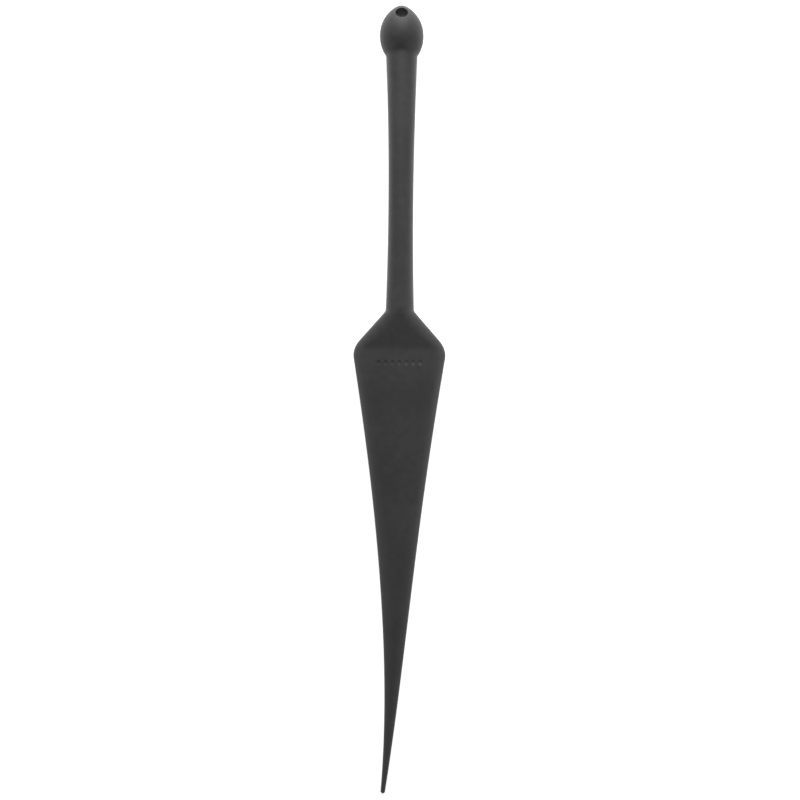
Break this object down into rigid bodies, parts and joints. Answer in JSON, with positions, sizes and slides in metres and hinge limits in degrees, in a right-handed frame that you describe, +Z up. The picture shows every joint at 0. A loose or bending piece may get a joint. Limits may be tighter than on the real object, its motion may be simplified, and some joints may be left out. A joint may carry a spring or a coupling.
{
  "type": "silicone tail whip",
  "caption": "Short flexible tail whip moulded in solid silicone, with an egg-shaped pommel, a hanging hole, a waisted round grip and a flat blade that tapers to a fine tip.",
  "frame": {"origin": "on the table under the middle of the whip's length, as it lies face up on its pommel, the end of its grip and its blade", "axes": "+Y along the whip towards the pommel, +X across the blade, +Z up, square to the blade's flat face"},
  "size_m": [0.0526, 0.457, 0.0252],
  "materials": {
    "silicone": "matte"
  },
  "bodies": {
    "handle": {"handle": "silicone"},
    "tail_section_1": {"tail_section_1": "silicone"},
    "tail_section_2": {"tail_section_2": "silicone"},
    "tail_section_3": {"tail_section_3": "silicone"},
    "tail_section_4": {"tail_section_4": "silicone"},
    "tail_section_5": {"tail_section_5": "silicone"},
    "tail_section_6": {"tail_section_6": "silicone"},
    "tail_section_7": {"tail_section_7": "silicone"},
    "tail_section_8": {"tail_section_8": "silicone"},
    "tail_section_9": {"tail_section_9": "silicone"},
    "tail_section_10": {"tail_section_10": "silicone"},
    "tail_section_11": {"tail_section_11": "silicone"},
    "tail_section_12": {"tail_section_12": "silicone"}
  },
  "joints": [
    {"name": "tail_bend_1", "type": "hinge", "parent": "handle", "child": "tail_section_1", "pos_m": [0, 0.01247, 0.0065], "axis": [-1, 0.0001, 0], "range_deg": [-22, 22], "stiffness_Nm_per_rad": 0.103},
    {"name": "tail_bend_2", "type": "hinge", "parent": "tail_section_1", "child": "tail_section_2", "pos_m": [0, -0.00761, 0.00519], "axis": [-1, 0.0004, 0], "range_deg": [-22, 22], "stiffness_Nm_per_rad": 0.0773},
    {"name": "tail_bend_3", "type": "hinge", "parent": "tail_section_2", "child": "tail_section_3", "pos_m": [-0.00002, -0.02769, 0.00385], "axis": [-1, 0.0014, 0], "range_deg": [-22, 22], "stiffness_Nm_per_rad": 0.0565},
    {"name": "tail_bend_4", "type": "hinge", "parent": "tail_section_3", "child": "tail_section_4", "pos_m": [-0.00007, -0.04777, 0.00278], "axis": [-1, 0.0033, 0], "range_deg": [-22, 22], "stiffness_Nm_per_rad": 0.0407},
    {"name": "tail_bend_5", "type": "hinge", "parent": "tail_section_4", "child": "tail_section_5", "pos_m": [-0.00016, -0.06785, 0.00227], "axis": [-1, 0.0065, 0], "range_deg": [-22, 22], "stiffness_Nm_per_rad": 0.0286},
    {"name": "tail_bend_6", "type": "hinge", "parent": "tail_section_5", "child": "tail_section_6", "pos_m": [-0.00034, -0.08793, 0.00212], "axis": [-0.9999, 0.0113, 0], "range_deg": [-22, 22], "stiffness_Nm_per_rad": 0.0196},
    {"name": "tail_bend_7", "type": "hinge", "parent": "tail_section_6", "child": "tail_section_7", "pos_m": [-0.00063, -0.10801, 0.00198], "axis": [-0.9998, 0.018, 0], "range_deg": [-22, 22], "stiffness_Nm_per_rad": 0.0129},
    {"name": "tail_bend_8", "type": "hinge", "parent": "tail_section_7", "child": "tail_section_8", "pos_m": [-0.00108, -0.1281, 0.00183], "axis": [-0.9996, 0.0268, 0], "range_deg": [-22, 22], "stiffness_Nm_per_rad": 0.00821},
    {"name": "tail_bend_9", "type": "hinge", "parent": "tail_section_8", "child": "tail_section_9", "pos_m": [-0.00173, -0.14818, 0.00169], "axis": [-0.9993, 0.0382, 0], "range_deg": [-22, 22], "stiffness_Nm_per_rad": 0.00499},
    {"name": "tail_bend_10", "type": "hinge", "parent": "tail_section_9", "child": "tail_section_10", "pos_m": [-0.00263, -0.16826, 0.00154], "axis": [-0.9986, 0.0524, 0], "range_deg": [-22, 22], "stiffness_Nm_per_rad": 0.00286},
    {"name": "tail_bend_11", "type": "hinge", "parent": "tail_section_10", "child": "tail_section_11", "pos_m": [-0.00385, -0.18834, 0.00139], "axis": [-0.9976, 0.0697, 0], "range_deg": [-22, 22], "stiffness_Nm_per_rad": 0.0015},
    {"name": "tail_bend_12", "type": "hinge", "parent": "tail_section_11", "child": "tail_section_12", "pos_m": [-0.00546, -0.20842, 0.00125], "axis": [-0.9959, 0.0905, 0], "range_deg": [-22, 22], "stiffness_Nm_per_rad": 0.000716}
  ]
}
